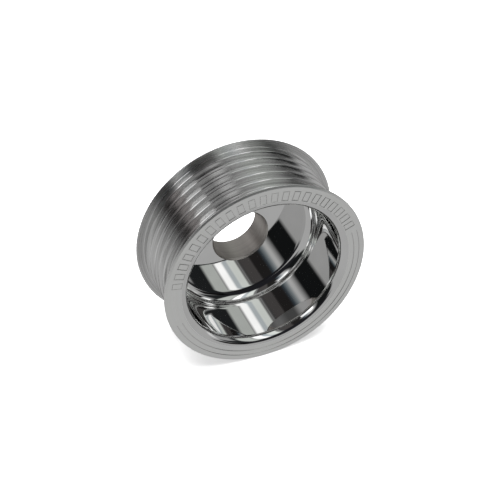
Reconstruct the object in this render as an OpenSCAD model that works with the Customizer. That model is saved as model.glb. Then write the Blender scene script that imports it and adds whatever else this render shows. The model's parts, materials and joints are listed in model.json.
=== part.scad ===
// Supercharger drive pulley for a six-rib (PK section) belt, turned from one
// aluminium bar. A deep polished cup opens towards -Y, the belt runs round the
// rim, and the web at the bottom of the cup carries a plain bore whose boss
// stands out behind the rim. The bore axis is the Y axis. The origin is on that
// axis, on the boss's rear seat face, which meets the shaft's shoulder.

/* [Rim] */
// Diameter over the two belt flanges
flange_d = 63.0; // [61.5:0.5:70]
// Width of the rim, from the front face to the back of the rear flange
rim_w = 24.3; // [24.3:0.1:28]
// Thickness of the front flange at its outer edge
front_flange_t = 0.6; // [0.5:0.1:0.9]
// Thickness of the rear flange
rear_flange_t = 0.55; // [0.4:0.05:0.6]
// Width of the bevel round the front face, along the radius
face_bevel_w = 0.6; // [0.2:0.1:0.9]
// Depth of the bevel round the front face, along the axis
face_bevel_h = 0.3; // [0.1:0.05:0.4]
// Width of the small bevel round the rear flange's back edge
rear_bevel = 0.15; // [0.05:0.05:0.3]

/* [Belt grooves] */
// Diameter over the rib crests
crest_d = 58.3; // [56:0.1:60]
// Number of belt grooves
groove_count = 6; // [3:1:6]
// Distance from one groove to the next
groove_pitch = 3.56; // [3.5:0.01:3.56]
// Angle between the two flanks of a groove
groove_angle = 40; // [38:1:42]
// Width of the flat on top of each rib
crest_flat = 1.0; // [0.8:0.05:1.1]
// Depth of a groove below the rib crests
groove_depth = 2.6; // [2.0:0.1:2.7]
// Distance from the front face to the middle of the first groove
first_groove = 2.3; // [2.3:0.01:2.4]

/* [Cup] */
// Inside diameter of the cup
cup_d = 47.9; // [42:0.1:48]
// Depth of the cup, from the front face to the web
cup_depth = 19.85; // [14:0.05:20.5]
// Radius of the rounded mouth of the cup
lip_r = 2.3; // [0.3:0.1:2.3]
// Radius of the fillet between the cup's wall and the web
cup_fillet_r = 3.6; // [0.5:0.1:5]

/* [Hub] */
// Diameter of the bore
bore_d = 17.0; // [14:0.5:20]
// Width of the chamfer at each end of the bore
bore_chamfer = 0.5; // [0.2:0.1:1]
// Diameter of the boss behind the web
boss_d = 27.0; // [24:0.5:34]
// How far the boss stands out behind the rim
boss_h = 5.1; // [2.5:0.1:12]
// Radius of the fillet at the root of the boss
boss_fillet_r = 1.0; // [0.3:0.1:1.4]
// Width of the chamfer round the boss's rear face
boss_chamfer = 0.6; // [0.2:0.1:0.9]

/* [Marks on the front face] */
// Depth of every engraved line
mark_depth = 0.15; // [0.1:0.05:0.3]
// Width of every engraved line
mark_w = 0.25; // [0.2:0.05:0.4]
// Mean diameter of the outer engraved arc
outer_arc_d = 59.2; // [57.5:0.1:60]
// Mean diameter of the inner engraved arc
inner_arc_d = 55.9; // [54:0.1:56.5]
// Number of plain frames engraved along the upper half of the face
frame_count = 22; // [4:1:24]

/* [Hidden] */
over = 3;                         // how far a cutter runs past a face
flange_r = flange_d / 2;
crest_r = crest_d / 2;
cup_r = cup_d / 2;
bore_r = bore_d / 2;
boss_r = boss_d / 2;
front = rim_w + boss_h;           // the front face, from the seat face
groove_half_w = (groove_pitch - crest_flat) / 2;
flank_angle = groove_angle / 2;
flank_apex = groove_half_w / tan(flank_angle);
root_r = (flank_apex - groove_depth) / (1 / sin(flank_angle) - 1);
root_centre = flank_apex - root_r / sin(flank_angle);
root_tangent = root_centre + root_r * sin(flank_angle);
arc_start = 199;                  // angles run from +X towards +Z
arc_sweep = 177;
frame_start = 19;
frame_sweep = 154;
frame_h = 3.2;                    // size of a frame along the radius
frame_fill = 0.62;                // part of its step that a frame takes
frame_mid_r = 28.0;

// Half the width of a groove at a depth below the rib crests
function half_width(depth) = groove_half_w - depth * tan(flank_angle);

// Fills the inside corner at the origin up to a round of radius r
module fillet(r) {
    difference() {
        square(r);
        translate([r, r]) circle(r = r, $fn = 96);
    }
}

// Cuts the outside corner at the origin to a round of radius r
module rounding(r) {
    difference() {
        translate([-over, -over]) square(r + over);
        translate([r, r]) circle(r = r, $fn = 96);
    }
}

// Cuts the outside corner at the origin to a bevel, w along X and h along Y
module bevel(w, h) {
    polygon([[-over, -over], [w, -over], [w, 0], [-over, h * (1 + over / w)]]);
}

// Turns an outline drawn back from the front face into one from the seat face
module from_front() {
    translate([0, front]) mirror([0, 1]) children();
}

// Turns an outline drawn out from the axis into one drawn in from a radius
module inward_from(radius) {
    translate([radius, 0]) mirror([1, 0]) children();
}

// One belt groove with its middle at the origin of Y
module groove_outline() {
    tangent_w = half_width(root_tangent);
    translate([crest_r, 0]) {
        polygon([
            [0, -groove_half_w], [-root_tangent, -tangent_w],
            [-root_tangent, tangent_w], [0, groove_half_w]
        ]);
        translate([-root_centre, 0]) circle(r = root_r, $fn = 96);
    }
}

// The belt's channel between the flanges, down to the rib crests. The front
// flange's inner side goes on up the first groove's flank.
module channel_outline() {
    flank_top = first_groove - groove_half_w;
    flank_end_r = crest_r + (flank_top - front_flange_t) / tan(flank_angle);
    rear_side = rim_w - rear_flange_t;
    polygon([
        [crest_r, flank_top], [flank_end_r, front_flange_t],
        [flange_r + over, front_flange_t], [flange_r + over, rear_side],
        [crest_r, rear_side]
    ]);
}

module belt_track_outline() {
    channel_outline();
    for (i = [0 : groove_count - 1])
        translate([0, first_groove + i * groove_pitch]) groove_outline();
}

// The space inside the cup, with its mouth rounded
module cup_outline() {
    difference() {
        translate([-over, -over]) square([cup_r + over, cup_depth + over]);
        translate([cup_r, cup_depth]) rotate(180) fillet(cup_fillet_r);
    }
    translate([cup_r, 0]) rounding(lip_r);
}

module pulley_outline() {
    difference() {
        union() {
            translate([0, boss_h]) square([flange_r, rim_w]);
            square([boss_r, front]);
            translate([boss_r, boss_h]) mirror([0, 1]) fillet(boss_fillet_r);
        }
        from_front() {
            belt_track_outline();
            cup_outline();
            inward_from(flange_r) bevel(face_bevel_w, face_bevel_h);
            translate([bore_r, cup_depth]) bevel(bore_chamfer, bore_chamfer);
        }
        translate([-over, -over]) square([bore_r + over, front + 2 * over]);
        translate([bore_r, 0]) bevel(bore_chamfer, bore_chamfer);
        inward_from(boss_r) bevel(boss_chamfer, boss_chamfer);
        translate([0, boss_h]) inward_from(flange_r) bevel(rear_bevel, rear_bevel);
    }
}

// An engraved line that runs round the front face
module engraved_arc(radius, start, sweep) {
    rotate(start) rotate_extrude(angle = sweep, $fn = 180)
        translate([radius - mark_w / 2, front - mark_depth])
            square([mark_w, mark_depth + over]);
}

// A plain rectangular frame, engraved round the point at radius frame_mid_r
module engraved_frame(angle, width) {
    rotate(angle) translate([frame_mid_r, 0, front - mark_depth]) difference() {
        translate([-frame_h / 2, -width / 2, 0]) cube([frame_h, width, over]);
        translate([mark_w - frame_h / 2, mark_w - width / 2, -over])
            cube([frame_h - 2 * mark_w, width - 2 * mark_w, 3 * over]);
    }
}

module face_marks() {
    step = frame_sweep / frame_count;
    width = frame_fill * step * PI / 180 * frame_mid_r;
    engraved_arc(outer_arc_d / 2, arc_start, arc_sweep);
    engraved_arc(inner_arc_d / 2, arc_start, arc_sweep);
    for (i = [0 : frame_count - 1])
        engraved_frame(frame_start + (i + 0.5) * step, width);
}

module pulley() {
    color([0.74, 0.75, 0.75]) rotate([90, 0, 0]) difference() {
        rotate_extrude($fn = 180) pulley_outline();
        face_marks();
    }
}

pulley();
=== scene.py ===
"""A turned aluminium supercharger pulley with a polished cup, standing on its rim.

The CAD pulley is the fixed frame. Its surface is turned again here as one fine
mesh, with broken edges and the engraved face, and divided by finish.
"""
import json
import math
from collections import namedtuple

import bpy
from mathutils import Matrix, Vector


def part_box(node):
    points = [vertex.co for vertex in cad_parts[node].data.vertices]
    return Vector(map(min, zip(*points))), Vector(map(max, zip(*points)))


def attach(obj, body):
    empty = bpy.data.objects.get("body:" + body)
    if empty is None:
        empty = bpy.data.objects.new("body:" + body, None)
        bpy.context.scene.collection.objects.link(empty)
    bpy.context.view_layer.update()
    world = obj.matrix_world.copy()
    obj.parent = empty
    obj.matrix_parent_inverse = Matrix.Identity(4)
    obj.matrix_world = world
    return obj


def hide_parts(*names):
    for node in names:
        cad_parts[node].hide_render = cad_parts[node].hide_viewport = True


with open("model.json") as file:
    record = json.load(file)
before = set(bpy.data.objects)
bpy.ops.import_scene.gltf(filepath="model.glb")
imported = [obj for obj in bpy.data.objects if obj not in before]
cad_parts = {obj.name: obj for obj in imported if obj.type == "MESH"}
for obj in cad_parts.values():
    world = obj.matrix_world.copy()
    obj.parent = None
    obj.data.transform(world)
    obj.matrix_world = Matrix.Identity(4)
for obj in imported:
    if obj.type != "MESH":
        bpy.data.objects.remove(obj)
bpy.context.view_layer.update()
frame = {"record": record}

# ---------------------------------------------------------------- dimensions
# Millimetres. Heights run forward from the rear seat face. What the frame
# states is taken from it, and the rest repeats the design.
MM = 0.001
low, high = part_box("pulley")
FLANGE_R = high.x / MM
FRONT = -low.y / MM
BORE_R = frame["record"]["mounts"][0]["dims"]["r_mm"]
BOSS_R = 13.5
BOSS_H = 5.1
CREST_R = 29.15
CUP_R = 23.95
CUP_DEPTH = 19.85
LIP_R = 2.3
CUP_FILLET_R = 3.6
BOSS_FILLET_R = 1.0
BORE_CHAMFER = 0.5
BOSS_CHAMFER = 0.6
FRONT_FLANGE = 0.6
REAR_FLANGE = 0.55
FACE_BEVEL_W = 0.6
FACE_BEVEL_H = 0.3
REAR_BEVEL = 0.15
GROOVES = 6
PITCH = 3.56
CREST_FLAT = 1.0
GROOVE_DEPTH = 2.6
FIRST_GROOVE = 2.3
FLANK = math.radians(20)
# Roundings that the design leaves out: of plain edges, of the edges of the ribs
# and of the root of the rear flange
EDGE_BREAK = 0.05
CREST_BREAK = 0.25
ROOT_BREAK = 0.2

MARK_DEPTH = 0.15
MARK_W = 0.25
ARC_RADII = (27.95, 29.6)
ARC_START = 199.0
ARC_SWEEP = 177.0
FRAME_COUNT = 22
FRAME_START = 19.0
FRAME_STEP = 7.0
FRAME_R = 28.0
FRAME_H = 3.2
FRAME_FILL = 0.62

HALF_GROOVE = (PITCH - CREST_FLAT) / 2
APEX = HALF_GROOVE / math.tan(FLANK)
ROOT_R = (APEX - GROOVE_DEPTH) / (1 / math.sin(FLANK) - 1)
FRAME_HALF = math.radians(FRAME_FILL * FRAME_STEP / 2)
STROKE = MARK_W / FRAME_R
# Fineness of the mesh: steps round the axis, the least angle between a step and
# the side of a mark, and the most that one step turns at a rounded corner
EVEN_STEPS = 480
LEAST_GAP = 0.002
CORNER_STEP = math.radians(7)

Row = namedtuple("Row", "radius height normal finish")


# --------------------------------------------------------------- the outline
def belt_track_corners():
    """Corners of the belt track, from the rear flange to the front one.

    Each is (radius, height, rounding, finish of the stretch after it).
    """
    rear = BOSS_H + REAR_FLANGE
    flank_top = FIRST_GROOVE - HALF_GROOVE
    flank_end = CREST_R + (flank_top - FRONT_FLANGE) / math.tan(FLANK)
    corners = [
        (FLANGE_R, rear, EDGE_BREAK, "flange"),
        (CREST_R, rear, ROOT_BREAK, "crest"),
    ]
    for i in reversed(range(GROOVES)):
        middle = FRONT - FIRST_GROOVE - i * PITCH
        corners.append((CREST_R, middle - HALF_GROOVE, CREST_BREAK, "track"))
        corners.append((CREST_R - APEX, middle, ROOT_R, "track"))
        corners.append((CREST_R, middle + HALF_GROOVE, CREST_BREAK, "crest"))
    corners[-1] = (flank_end, FRONT - FRONT_FLANGE, EDGE_BREAK, "flange")
    corners.append((FLANGE_R, FRONT - FRONT_FLANGE, EDGE_BREAK, "flange"))
    return corners


def outline_corners():
    """The corners of the whole outline, once round from the bore's rear end."""
    web = FRONT - CUP_DEPTH
    return [
        (BORE_R, BORE_CHAMFER, EDGE_BREAK, "bore"),
        (BORE_R + BORE_CHAMFER, 0, EDGE_BREAK, "back"),
        (BOSS_R - BOSS_CHAMFER, 0, EDGE_BREAK, "back"),
        (BOSS_R, BOSS_CHAMFER, EDGE_BREAK, "back"),
        (BOSS_R, BOSS_H, BOSS_FILLET_R, "back"),
        (FLANGE_R - REAR_BEVEL, BOSS_H, EDGE_BREAK, "flange"),
        (FLANGE_R, BOSS_H + REAR_BEVEL, EDGE_BREAK, "flange"),
        *belt_track_corners(),
        (FLANGE_R, FRONT - FACE_BEVEL_H, EDGE_BREAK, "bevel"),
        (FLANGE_R - FACE_BEVEL_W, FRONT, EDGE_BREAK, "face"),
        (CUP_R, FRONT, LIP_R, "cup"),
        (CUP_R, web, CUP_FILLET_R, "cup"),
        (BORE_R + BORE_CHAMFER, web, EDGE_BREAK, "bore"),
        (BORE_R, web - BORE_CHAMFER, EDGE_BREAK, "bore"),
    ]


def rounded_corner(before, corner, after):
    """Rows along the arc that rounds one corner of the outline.

    The arc has the finish of the stretch after it, but is an edge where that
    stretch is a crest.
    """
    here = Vector(corner[:2])
    back = (Vector(before[:2]) - here).normalized()
    ahead = (Vector(after[:2]) - here).normalized()
    opening = back.angle(ahead)
    rounding = corner[2]
    centre = here + (back + ahead).normalized() * rounding / math.sin(opening / 2)
    arm = here + back * rounding / math.tan(opening / 2) - centre
    left_turn = back.cross(ahead) < 0
    turn = (math.pi - opening) * (1 if left_turn else -1)
    outward = 1 if left_turn else -1
    count = max(2, math.ceil(abs(turn) / CORNER_STEP))
    rows = []
    for k in range(count + 1):
        a = turn * k / count
        spoke = Vector((
            arm.x * math.cos(a) - arm.y * math.sin(a),
            arm.x * math.sin(a) + arm.y * math.cos(a),
        ))
        point = centre + spoke
        finish = "edge" if corner[3] == "crest" and k < count else corner[3]
        rows.append(Row(point.x, point.y, spoke.normalized() * outward, finish))
    return rows


def face_radii():
    """Radii at which the front face is divided, so that its marks can be cut."""
    radii = {r + side * MARK_W / 2 for r in ARC_RADII for side in (-1, 1)}
    for side in (-1, 1):
        edge = FRAME_R + side * FRAME_H / 2
        radii |= {edge, edge - side * MARK_W}
    return sorted(radii, reverse=True)


def outline_rows():
    corners = outline_corners()
    rows = []
    for i, corner in enumerate(corners):
        after = corners[(i + 1) % len(corners)]
        rows += rounded_corner(corners[i - 1], corner, after)
        if corner[3] == "face":
            rows += [Row(r, FRONT, Vector((0, 1)), "face") for r in face_radii()]
    return rows


# ------------------------------------------------------------------ the mesh
def frame_centres():
    start = FRAME_START + FRAME_STEP / 2
    return [math.radians(start + i * FRAME_STEP) for i in range(FRAME_COUNT)]


def columns():
    """Angles round the axis: even steps, and the sides of every engraved mark."""
    marks = [math.radians(ARC_START), math.radians(ARC_START + ARC_SWEEP - 360)]
    for centre in frame_centres():
        for half in (FRAME_HALF, FRAME_HALF - STROKE):
            marks += [centre - half, centre + half]
    even = [2 * math.pi * i / EVEN_STEPS for i in range(EVEN_STEPS)]
    apart = [a for a in even if all(abs(a - m) > LEAST_GAP for m in marks)]
    return sorted(apart + marks)


def in_frame(radius, angle, slack=0.0):
    """The angle from the middle of the frame that holds this place, or None."""
    for centre in frame_centres():
        inside = abs(radius - FRAME_R) < FRAME_H / 2 + slack
        if inside and abs(angle - centre) < FRAME_HALF + slack:
            return angle - centre
    return None


def engraved(radius, angle):
    """Whether the front face is cut down to the bottom of a mark here."""
    if (math.degrees(angle) - ARC_START) % 360 < ARC_SWEEP:
        return any(abs(radius - r) < MARK_W / 2 for r in ARC_RADII)
    across = in_frame(radius, angle)
    if across is None:
        return False
    along = abs(radius - FRAME_R)
    return abs(across) > FRAME_HALF - STROKE or along > FRAME_H / 2 - MARK_W


def place(radius, height, angle):
    """A point of the turned body. The sides of a frame run straight."""
    across = in_frame(radius, angle, 1e-6) if height > FRONT - 1e-6 else None
    if across is None:
        return Vector((radius * math.cos(angle), -height, radius * math.sin(angle)))
    centre = angle - across
    side = FRAME_R * across
    return Vector((
        radius * math.cos(centre) - side * math.sin(centre),
        -height,
        radius * math.sin(centre) + side * math.cos(centre),
    ))


FINISHES = [
    "track", "crest", "edge", "flange", "bevel", "face", "mark", "cup", "bore", "back",
]


def turned_body():
    """The whole surface as one closed mesh, with its true normals."""
    rows = outline_rows()
    angles = columns()
    verts, index = [], {}
    faces, finishes, normals = [], [], []

    def vertex(i, j, cut):
        key = (i % len(rows), j % len(angles), cut)
        if key not in index:
            row = rows[key[0]]
            point = place(row.radius, row.height, angles[key[1]])
            point.y += MARK_DEPTH if cut else 0
            index[key] = len(verts)
            verts.append(point * MM)
        return index[key]

    def normal(i, j):
        n = rows[i % len(rows)].normal
        a = angles[j % len(angles)]
        return Vector((n.x * math.cos(a), -n.y, n.x * math.sin(a)))

    def add(corners, finish, flat=None):
        faces.append([vertex(*c) for c in corners])
        finishes.append(FINISHES.index(finish))
        normals.extend(flat or normal(*c[:2]) for c in corners)

    def is_cut(i, j):
        row, after = rows[i % len(rows)], rows[(i + 1) % len(rows)]
        if row.finish != "face" or after.finish != "face":
            return False
        a = angles[j % len(angles)]
        b = angles[(j + 1) % len(angles)]
        b += 2 * math.pi if b < a else 0
        return engraved((row.radius + after.radius) / 2, (a + b) / 2 % (2 * math.pi))

    for i, row in enumerate(rows):
        for j in range(len(angles)):
            cut = is_cut(i, j)
            quad = [(i, j), (i, j + 1), (i + 1, j + 1), (i + 1, j)]
            add([(*c, cut) for c in quad], "mark" if cut else row.finish)
            if not cut:
                continue
            sides = [
                ((i - 1, j), quad[0], quad[1]), ((i, j + 1), quad[1], quad[2]),
                ((i + 1, j), quad[2], quad[3]), ((i, j - 1), quad[3], quad[0]),
            ]
            for neighbour, p, q in sides:
                if is_cut(*neighbour):
                    continue
                wall = [(*p, True), (*p, False), (*q, False), (*q, True)]
                along = verts[vertex(*q, True)] - verts[vertex(*p, True)]
                inward = Vector((0, -1, 0)).cross(along).normalized()
                add(wall, "mark", inward)

    mesh = bpy.data.meshes.new("pulley_surface")
    mesh.from_pydata([tuple(v) for v in verts], [], faces)
    mesh.polygons.foreach_set("material_index", finishes)
    mesh.polygons.foreach_set("use_smooth", [True] * len(faces))
    mesh.normals_split_custom_set([tuple(n) for n in normals])
    mesh.update()
    body = bpy.data.objects.new("pulley_surface", mesh)
    bpy.context.scene.collection.objects.link(body)
    return body


# ----------------------------------------------------------------- materials
# The rings of a finish follow the radius plus this part of the length. It isn't
# 1, so a chamfer at 45 degrees has rings too.
RING_SLANT = 0.83
STREAKS_PER_MM = 1.6
PATCHES_PER_M = 90
# The part of a turn that makes an anisotropic finish spread highlights across
# its rings and not along them
ACROSS_RINGS = 0.25


class Nodes:
    """A short way to write the nodes of a material or of the world."""

    def __init__(self, tree):
        self.tree = tree

    def add(self, kind, settings=(), **inputs):
        node = self.tree.nodes.new(kind)
        for name, value in dict(settings).items():
            setattr(node, name, value)
        for name, value in inputs.items():
            key = int(name[1:]) if name[1:].isdigit() else name.replace("_", " ")
            if isinstance(value, bpy.types.NodeSocket):
                self.tree.links.new(value, node.inputs[key])
            else:
                node.inputs[key].default_value = value
        return node

    def math(self, operation, a, b=0.0):
        return self.add("ShaderNodeMath", {"operation": operation}, _0=a, _1=b).outputs[0]

    def noise(self, scale, detail=2.0, dimensions="1D", **inputs):
        node = self.add(
            "ShaderNodeTexNoise", {"noise_dimensions": dimensions},
            Scale=scale, Detail=detail, **inputs,
        )
        return node.outputs["Fac"]

    def step(self, value, start, end):
        """0 before start, 1 after end, and smooth between."""
        node = self.add(
            "ShaderNodeMapRange", {"interpolation_type": "SMOOTHSTEP"}, Value=value,
            From_Min=start, From_Max=end,
        )
        return node.outputs["Result"]

    def blend(self, factor, a, b, kind="MIX"):
        """Takes colour a to b, or to their sum or product, by a factor."""
        settings = {"data_type": "RGBA", "blend_type": kind}
        return self.add("ShaderNodeMix", settings, _0=factor, _6=a, _7=b).outputs[2]

    def spread(self, value, low, high):
        """Takes a noise around 0.5 to a range, evenly."""
        node = self.add(
            "ShaderNodeMapRange", Value=value,
            From_Min=0.3, From_Max=0.7, To_Min=low, To_Max=high,
        )
        return node.outputs["Result"]


def turned_metal(name, color, rough, rough_var, lines_per_mm, bump_mm,
                 anisotropic=0.0, mottle=0.04, streak=0.0):
    """Bare aluminium with the fine rings that turning and polishing leave.

    The rings vary its roughness and, with bump_mm, its surface. An anisotropic
    finish spreads what it mirrors across the rings. Patches and wider streaks
    darken its colour by up to mottle and streak.
    """
    material = bpy.data.materials.new(name)
    material.use_nodes = True
    n = Nodes(material.node_tree)
    bsdf = material.node_tree.nodes["Principled BSDF"]
    place_of = n.add("ShaderNodeTexCoord").outputs["Object"]
    xyz = n.add("ShaderNodeSeparateXYZ", Vector=place_of)
    x, y, z = xyz.outputs
    radius = n.math("SQRT", n.math("ADD", n.math("MULTIPLY", x, x), n.math("MULTIPLY", z, z)))
    along = n.math("ADD", radius, n.math("MULTIPLY", y, RING_SLANT))
    rings = n.noise(lines_per_mm / MM, detail=3.0, W=along)
    patches = n.noise(PATCHES_PER_M, dimensions="3D", Vector=place_of)
    streaks = n.noise(STREAKS_PER_MM / MM, W=along)

    shade = n.math("MULTIPLY", n.spread(patches, 1 - mottle, 1.0),
                   n.spread(streaks, 1 - streak, 1.0))
    tint = n.blend(1.0, (*color, 1), shade, "MULTIPLY")
    n.tree.links.new(tint, bsdf.inputs["Base Color"])
    roughness = n.math("ADD", n.spread(rings, rough - rough_var, rough + rough_var),
                       n.spread(patches, -rough_var / 2, rough_var / 2))
    n.tree.links.new(roughness, bsdf.inputs["Roughness"])
    bsdf.inputs["Metallic"].default_value = 1.0
    if anisotropic:
        bsdf.inputs["Anisotropic"].default_value = anisotropic
        bsdf.inputs["Anisotropic Rotation"].default_value = ACROSS_RINGS
        tangent = n.add("ShaderNodeTangent", {"direction_type": "RADIAL", "axis": "Y"})
        n.tree.links.new(tangent.outputs["Tangent"], bsdf.inputs["Tangent"])
    if bump_mm:
        bump = n.add("ShaderNodeBump", Strength=1.0, Distance=bump_mm * MM, Height=rings)
        n.tree.links.new(bump.outputs["Normal"], bsdf.inputs["Normal"])
    return material


def finishes():
    """One material for each finish, in the order of FINISHES."""
    return [
        turned_metal("turned_track", (0.84, 0.84, 0.835), 0.11, 0.03, 6, 0.0,
                     anisotropic=0.9, streak=0.2),
        turned_metal("rib_crest", (0.80, 0.80, 0.795), 0.22, 0.05, 6, 0.0,
                     anisotropic=0.9, streak=0.2),
        turned_metal("rib_edge", (0.82, 0.82, 0.815), 0.10, 0.03, 6, 0.0),
        turned_metal("turned_flange", (0.84, 0.84, 0.835), 0.30, 0.08, 8, 0.0,
                     anisotropic=0.9, streak=0.25),
        turned_metal("satin_bevel", (0.93, 0.935, 0.92), 0.38, 0.04, 8, 0.0008),
        turned_metal("satin_face", (0.945, 0.95, 0.935), 0.34, 0.04, 8, 0.0008, streak=0.03),
        # The engraved marks are darker than the face around them: painted shade in the cut
        # lines
        turned_metal("engraved_line_painted_shade", (0.75, 0.75, 0.74), 0.3, 0.04, 8, 0.0),
        turned_metal("polished_cup", (0.80, 0.80, 0.795), 0.025, 0.01, 3, 0.0, mottle=0.08),
        # The bore's colour is much darker and warmer than the rest of the aluminium: painted
        # shade inside the hole
        turned_metal("bored_hole_painted_shade", (0.58, 0.55, 0.52), 0.5, 0.08, 5, 0.002, streak=0.15),
        turned_metal("turned_back", (0.80, 0.80, 0.795), 0.26, 0.06, 4, 0.0015, streak=0.08),
    ]


# -------------------------------------------------------------------- studio
# What the metal reflects. Directions are given by the angle round the pulley's
# axis, from +X towards +Z, and the angle from the front of the axis, in degrees.
# PANELS are wedges round the axis, as (start, end, brightness, colour), that
# blend into each other between their ends. The front ones are seen by the cup
# and the face, the rear ones by the outside of the rim.
WHITE, GREEN, BLUE = (1.0, 1.0, 1.0), (0.96, 1.0, 0.96), (0.86, 0.95, 1.0)
DUSK, WARM = (0.62, 0.82, 1.0), (1.0, 0.93, 0.92)
FRONT_ROOM = 0.45
FRONT_PANELS = [
    (6, 33, 0.02, BLUE),
    (38, 54, 0.62, GREEN),
    (55.2, 55.2, 0.22, WHITE),
    (59, 67, 1.40, WHITE),
    (70, 75, 0.55, BLUE),
    (77, 86, 0.93, GREEN),
    (88, 88, 0.12, WHITE),
    (90, 90, 0.28, WHITE),
    (92, 92, 0.06, WHITE),
    (95, 107, 0.08, WARM),
    (109, 123, 0.02, WARM),
    (127, 127, 0.08, DUSK),
    (132.5, 132.5, 0.32, BLUE),
    (137, 140, 0.60, WHITE),
    (150, 177, 0.01, BLUE),
    (183, 355, 0.45, WHITE),
]
REAR_ROOM = 0.45
REAR_PANELS = [
    (8, 26, 0.13, WHITE),
    (34, 34, 0.29, WHITE),
    (43, 47, 0.45, GREEN),
    (55, 62, 0.50, GREEN),
    (72, 80, 0.43, WHITE),
    (90, 97, 0.85, WHITE),
    (108, 122, 0.40, WHITE),
    (132, 140, 0.33, WHITE),
    (150, 157, 0.30, WARM),
    (165, 174, 0.045, WARM),
    (185, 185, 0.24, WHITE),
    (199, 199, 0.43, WHITE),
    (218, 236, 0.62, WHITE),
    (250, 325, 0.14, WARM),
]
# How far back, along +Y, the front panels give way to the rear ones
REAR_BLEND = (-0.05, 0.5)
# The dark straight ahead of the cup: its reach from the axis, the half width of
# its soft edge, and the heights between which it sets in
AHEAD = 32.0
AHEAD_EDGE = 5.0
AHEAD_HEIGHTS = (-0.20, -0.10)
AHEAD_SHADE = (0.015, 0.015, 0.018, 1)
# Softboxes and dark flags: angle round the axis, angle from its front, half
# width, half height along the second angle, and the light that they add or the
# part of the light that they leave
SOFTBOXES = [
    (133, 62, 9, 9, 0.45),
    (132, 97, 8, 27, 8.5),
    (66, 56, 7, 14, 0.15),
    (12, 70, 14, 14, 0.35),
]
FLAGS = [
    (102, 131, 17, 8, 0.16),
    (347, 34, 8, 9, 0.02),
]
# Where their soft edge ends and begins, as parts of the half width or height
OUTER_EDGE, INNER_EDGE = 1.35, 0.75


def wedges(n, turn, room, panels):
    """The light of the panels at a part of a turn round the axis."""
    ramp = n.add("ShaderNodeValToRGB", Fac=turn)
    stops = ramp.color_ramp.elements
    for stop, position in zip(list(stops), (0.0, 1.0)):
        stop.position = position
        stop.color = (room, room, room, 1)
    for start, end, level, color in panels:
        for edge in sorted({start, end}):
            stops.new(edge / 360).color = (*(c * level for c in color), 1)
    return ramp.outputs["Color"]


def direction(angle, off_axis):
    """A direction at an angle round the axis and an angle from its front."""
    a, p = math.radians(angle), math.radians(off_axis)
    return Vector((math.sin(p) * math.cos(a), -math.cos(p), math.sin(p) * math.sin(a)))


def softbox(n, toward, angle, off_axis, half_w, half_h):
    """1 inside a soft-edged rectangle that is seen in a direction, 0 elsewhere."""
    centre = direction(angle, off_axis)
    across = direction(angle + 90, 90)
    along = across.cross(centre)

    def part(axis):
        return n.add("ShaderNodeVectorMath", {"operation": "DOT_PRODUCT"},
                     _0=toward, _1=axis).outputs["Value"]

    # Limited to the centre's own side of the world
    ahead = n.math("MAXIMUM", part(centre), 0.01)
    lit = n.step(ahead, 0.1, 0.2)
    for axis, half in ((across, half_w), (along, half_h)):
        slope = n.math("DIVIDE", n.math("ABSOLUTE", part(axis)), ahead)
        edge = math.tan(math.radians(half))
        lit = n.math("MULTIPLY", lit, n.step(slope, edge * OUTER_EDGE, edge * INNER_EDGE))
    return lit


def studio_world():
    """Panels, boxes and flags for the metal, and a plain pale backdrop."""
    world = bpy.data.worlds.new("studio")
    world.use_nodes = True
    bpy.context.scene.world = world
    n = Nodes(world.node_tree)
    toward = n.add("ShaderNodeTexCoord").outputs["Generated"]
    xyz = n.add("ShaderNodeSeparateXYZ", Vector=toward).outputs
    angle = n.math("ARCTAN2", xyz["Z"], xyz["X"])
    turn = n.math("FRACT", n.math("ADD", n.math("DIVIDE", angle, 2 * math.pi), 1.0))
    front = wedges(n, turn, FRONT_ROOM, FRONT_PANELS)
    outer, inner = (math.radians(AHEAD + side * AHEAD_EDGE) for side in (1, -1))
    ahead = n.math(
        "MULTIPLY",
        n.step(xyz["Y"], -math.cos(outer), -math.cos(inner)),
        n.step(xyz["Z"], *AHEAD_HEIGHTS),
    )
    front = n.blend(ahead, front, AHEAD_SHADE)
    rear = wedges(n, turn, REAR_ROOM, REAR_PANELS)
    light = n.blend(n.step(xyz["Y"], *REAR_BLEND), front, rear)
    for *box, gain in SOFTBOXES:
        lit = n.math("MULTIPLY", softbox(n, toward, *box), gain)
        light = n.blend(lit, light, (1, 1, 1, 1), "ADD")
    for *box, left in FLAGS:
        dimmed = (left, left, left, 1)
        light = n.blend(softbox(n, toward, *box), light, dimmed, "MULTIPLY")
    room = n.add("ShaderNodeBackground", Color=light)
    pale = n.add("ShaderNodeBackground", Color=(1, 1, 1, 1))
    seen = n.add("ShaderNodeLightPath").outputs["Is Camera Ray"]
    mix = n.add("ShaderNodeMixShader", _0=seen, _1=room.outputs[0], _2=pale.outputs[0])
    output = world.node_tree.nodes["World Output"]
    n.tree.links.new(mix.outputs[0], output.inputs["Surface"])


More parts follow.
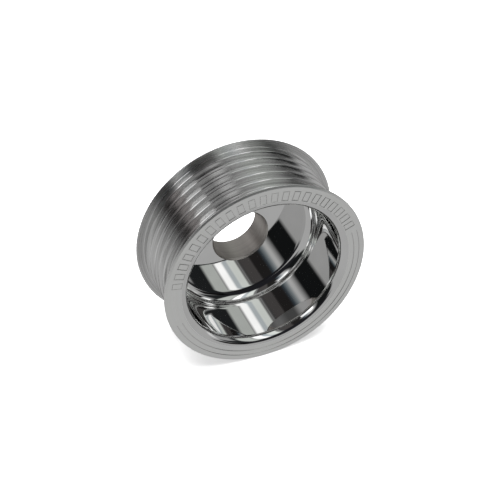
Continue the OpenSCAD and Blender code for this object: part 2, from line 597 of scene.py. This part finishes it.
def studio_floor():
    """The floor under the rim. The metal mirrors the panels instead of it."""
    reach = 4.0
    mesh = bpy.data.meshes.new("floor")
    corners = [(-reach, -reach), (reach, -reach), (reach, reach), (-reach, reach)]
    mesh.from_pydata([(x, y, low.z) for x, y in corners], [], [(0, 1, 2, 3)])
    floor = bpy.data.objects.new("floor", mesh)
    bpy.context.scene.collection.objects.link(floor)
    material = bpy.data.materials.new("pale_floor")
    material.use_nodes = True
    bsdf = material.node_tree.nodes["Principled BSDF"]
    bsdf.inputs["Base Color"].default_value = (0.6, 0.6, 0.6, 1)
    bsdf.inputs["Emission Color"].default_value = (1, 1, 1, 1)
    bsdf.inputs["Emission Strength"].default_value = 0.55
    bsdf.inputs["Roughness"].default_value = 1.0
    bsdf.inputs["Specular IOR Level"].default_value = 0.0
    mesh.materials.append(material)
    floor.visible_glossy = False


def floor_light():
    """A broad light from above that keeps the floor pale."""
    light = bpy.data.lights.new("overhead", "AREA")
    light.shape = "DISK"
    light.size = 1.2
    light.energy = 45
    lamp = bpy.data.objects.new("overhead", light)
    lamp.location = (0, -0.1, 1.2)
    lamp.visible_glossy = False
    lamp.visible_camera = False
    bpy.context.scene.collection.objects.link(lamp)


def camera():
    """Looks down into the cup from the front left."""
    azimuth, elevation = math.radians(-22.8), math.radians(39.5)
    toward = Vector((
        math.sin(azimuth) * math.cos(elevation),
        -math.cos(azimuth) * math.cos(elevation),
        math.sin(elevation),
    ))
    data = bpy.data.cameras.new("camera")
    data.sensor_width = 36
    data.lens = 108
    eye = bpy.data.objects.new("camera", data)
    eye.location = (-0.1325, -0.3321, 0.2821)
    eye.rotation_euler = (-toward).to_track_quat("-Z", "Y").to_euler()
    bpy.context.scene.collection.objects.link(eye)
    bpy.context.scene.camera = eye


# --------------------------------------------------------------------- scene
bpy.context.scene.view_settings.view_transform = "Standard"
camera()
studio_world()
studio_floor()
floor_light()

pulley = turned_body()
for material in finishes():
    pulley.data.materials.append(material)
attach(pulley, "root")
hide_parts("pulley")
